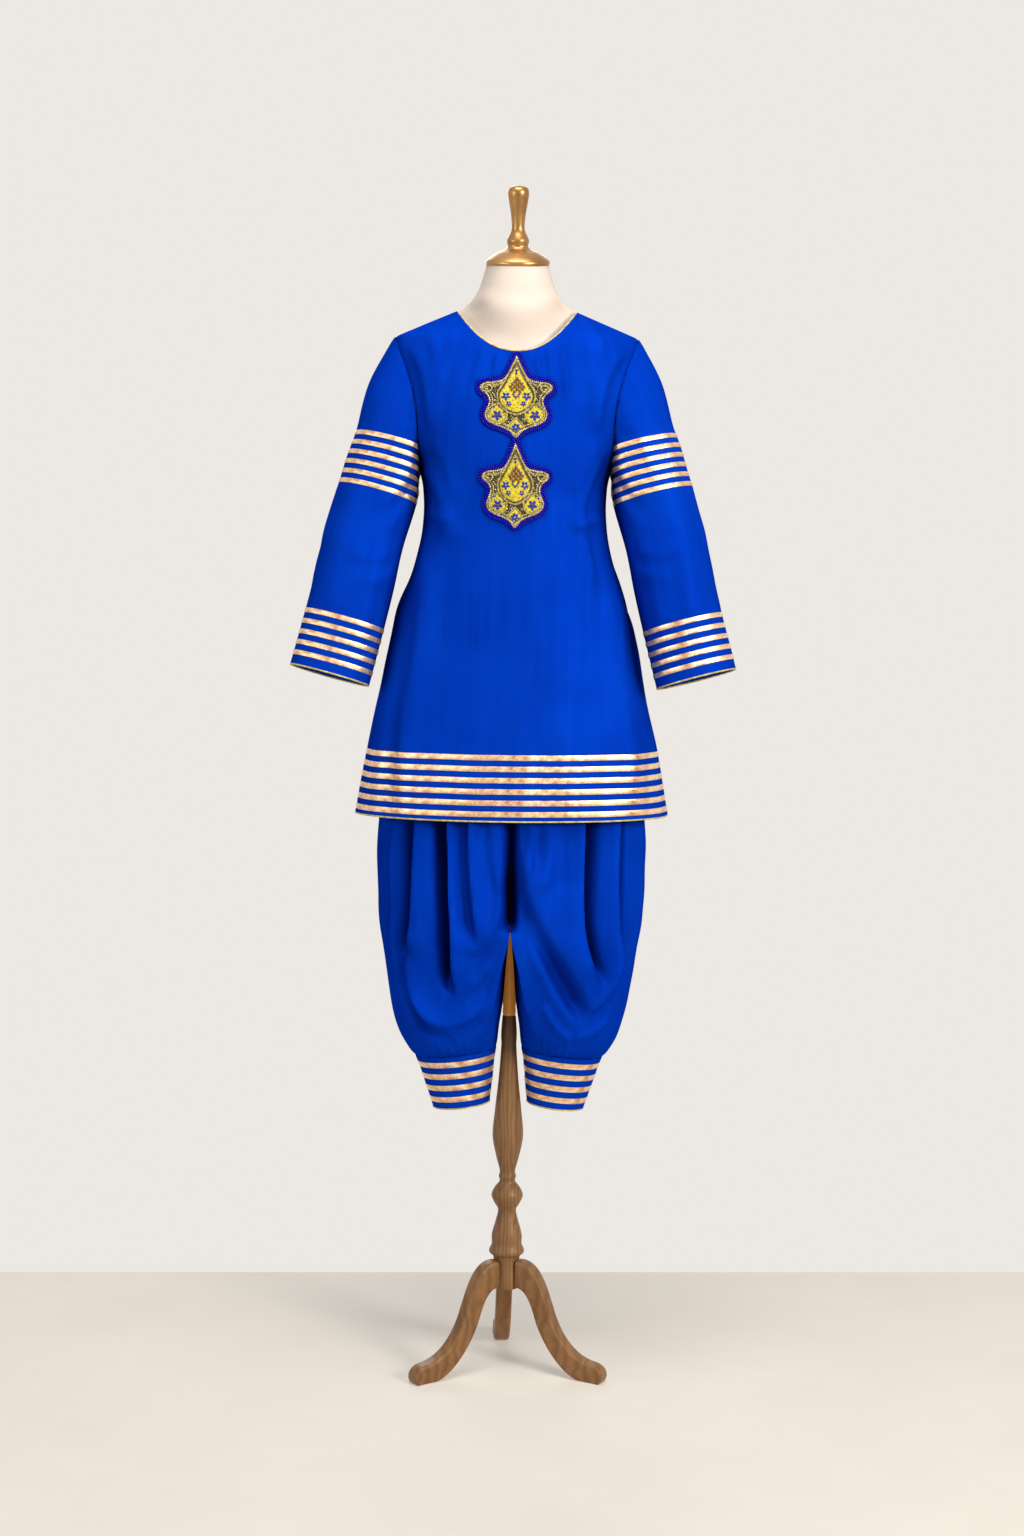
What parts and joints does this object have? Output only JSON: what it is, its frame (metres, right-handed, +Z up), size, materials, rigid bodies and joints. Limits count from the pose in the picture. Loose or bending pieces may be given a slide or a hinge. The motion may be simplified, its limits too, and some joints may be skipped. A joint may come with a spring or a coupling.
{
  "type": "kurta salwar set on a dress form",
  "caption": "Child's long-sleeved flared kurta with ribbon bands and embroidered patches, over gathered dhoti trousers, standing on a limbless dress form with a turned tripod stand.",
  "frame": {"origin": "on the floor under the middle of the object's box", "axes": "+Z up, the front faces -Y, the wearer's left is +X"},
  "size_m": [0.5378, 0.2465, 1.4508],
  "materials": {
    "cloth": "smooth satin-faced cotton silk, royal blue",
    "ribbon": "shiny pale gold foil ribbon",
    "piping": "pale gold satin piping",
    "embroidery": "metal thread embroidery in gold, yellow, maroon and blue",
    "form": "cream jersey cover over a firm form",
    "cap": "satin aged gold",
    "pole": "satin bronze paint",
    "wood": "oiled light brown wood"
  },
  "bodies": {
    "root": {"kurta_front": "cloth", "kurta_back": "cloth", "sleeve_left": "cloth", "sleeve_right": "cloth", "waistband": "cloth", "trouser_leg_left": "cloth", "trouser_leg_right": "cloth", "leg_cuff_left": "cloth", "leg_cuff_right": "cloth", "hem_ribbon_1": "ribbon", "hem_ribbon_2": "ribbon", "hem_ribbon_3": "ribbon", "hem_ribbon_4": "ribbon", "hem_ribbon_5": "ribbon", "hem_ribbon_6": "ribbon", "sleeve_left_ribbon_1": "ribbon", "sleeve_left_ribbon_2": "ribbon", "sleeve_left_ribbon_3": "ribbon", "sleeve_left_ribbon_4": "ribbon", "sleeve_left_ribbon_5": "ribbon", "sleeve_left_ribbon_6": "ribbon", "cuff_left_ribbon_1": "ribbon", "cuff_left_ribbon_2": "ribbon", "cuff_left_ribbon_3": "ribbon", "cuff_left_ribbon_4": "ribbon", "cuff_left_ribbon_5": "ribbon", "leg_left_ribbon_1": "ribbon", "leg_left_ribbon_2": "ribbon", "leg_left_ribbon_3": "ribbon", "leg_left_ribbon_4": "ribbon", "sleeve_right_ribbon_1": "ribbon", "sleeve_right_ribbon_2": "ribbon", "sleeve_right_ribbon_3": "ribbon", "sleeve_right_ribbon_4": "ribbon", "sleeve_right_ribbon_5": "ribbon", "sleeve_right_ribbon_6": "ribbon", "cuff_right_ribbon_1": "ribbon", "cuff_right_ribbon_2": "ribbon", "cuff_right_ribbon_3": "ribbon", "cuff_right_ribbon_4": "ribbon", "cuff_right_ribbon_5": "ribbon", "leg_right_ribbon_1": "ribbon", "leg_right_ribbon_2": "ribbon", "leg_right_ribbon_3": "ribbon", "leg_right_ribbon_4": "ribbon", "neck_piping": "piping", "hem_piping": "piping", "cuff_left_piping": "piping", "cuff_right_piping": "piping", "leg_left_piping": "piping", "leg_right_piping": "piping", "patch_upper": "embroidery", "patch_lower": "embroidery", "form_torso": "form", "neck_cap": "cap", "pole": "pole", "column": "wood", "stand_leg_rear": "wood", "stand_leg_left": "wood", "stand_leg_right": "wood"}
  },
  "joints": []
}
